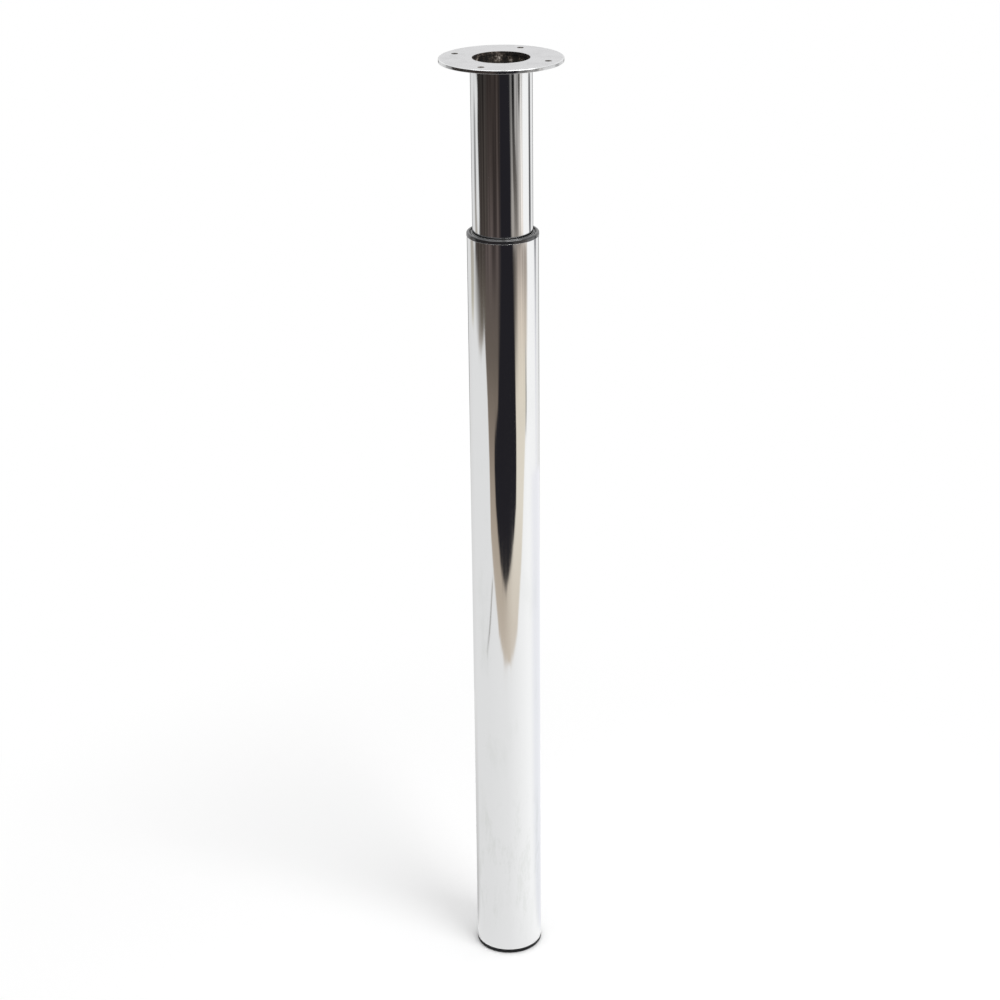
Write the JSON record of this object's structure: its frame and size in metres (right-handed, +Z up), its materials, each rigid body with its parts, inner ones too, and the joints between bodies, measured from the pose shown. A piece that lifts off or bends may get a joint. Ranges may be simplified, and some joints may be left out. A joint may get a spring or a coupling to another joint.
{
  "type": "height adjustable table leg",
  "caption": "Chromed telescopic table leg with a round screw flange on top, a black collar and foot, and a hidden twist lock that holds the height it is set to.",
  "frame": {"origin": "middle of the foot's underside, where the leg stands on the floor", "axes": "+Z up along the leg; the flange's screw holes lie on the diagonals between X and Y"},
  "size_m": [0.102, 0.102, 0.838],
  "materials": {
    "chrome_tube": "polished",
    "flange_steel": "satin",
    "collar_plastic": "gloss",
    "foot_plastic": "satin",
    "plug_plastic": "satin",
    "sleeve_plastic": "satin",
    "cone_plastic": "satin",
    "lock_steel": "satin"
  },
  "bodies": {
    "lower_leg": {"outer_tube": "chrome_tube", "collar_bush": "collar_plastic", "foot_cap": "foot_plastic"},
    "grip_sleeve": {"expander_sleeve": "sleeve_plastic"},
    "upper_leg": {"inner_tube": "chrome_tube", "flange_plate": "flange_steel", "flange_weld": "flange_steel", "lock_plug": "plug_plastic", "plug_pins": "lock_steel", "lock_spindle": "lock_steel", "spindle_washer": "lock_steel", "spindle_nut": "lock_steel", "thrust_washer": "lock_steel", "stop_washer": "lock_steel", "stop_nut": "lock_steel"},
    "draw_cone": {"expander_cone": "cone_plastic"}
  },
  "joints": [
    {"name": "height_slide", "type": "slide", "parent": "lower_leg", "child": "grip_sleeve", "axis": [0, 0, 1], "range_m": [-0.138, 0.262]},
    {"name": "lock_twist", "type": "hinge", "parent": "grip_sleeve", "child": "upper_leg", "pos_m": [0, 0, 0.34], "axis": [0, 0, 1], "range_deg": [0, 360]},
    {"name": "cone_draw", "type": "slide", "parent": "grip_sleeve", "child": "draw_cone", "axis": [0, 0, 1], "range_m": [-0.003, 0]}
  ],
  "couplings": [
    {"joint": "cone_draw", "follows": "lock_twist", "m_per_rad": -0.00047746}
  ]
}
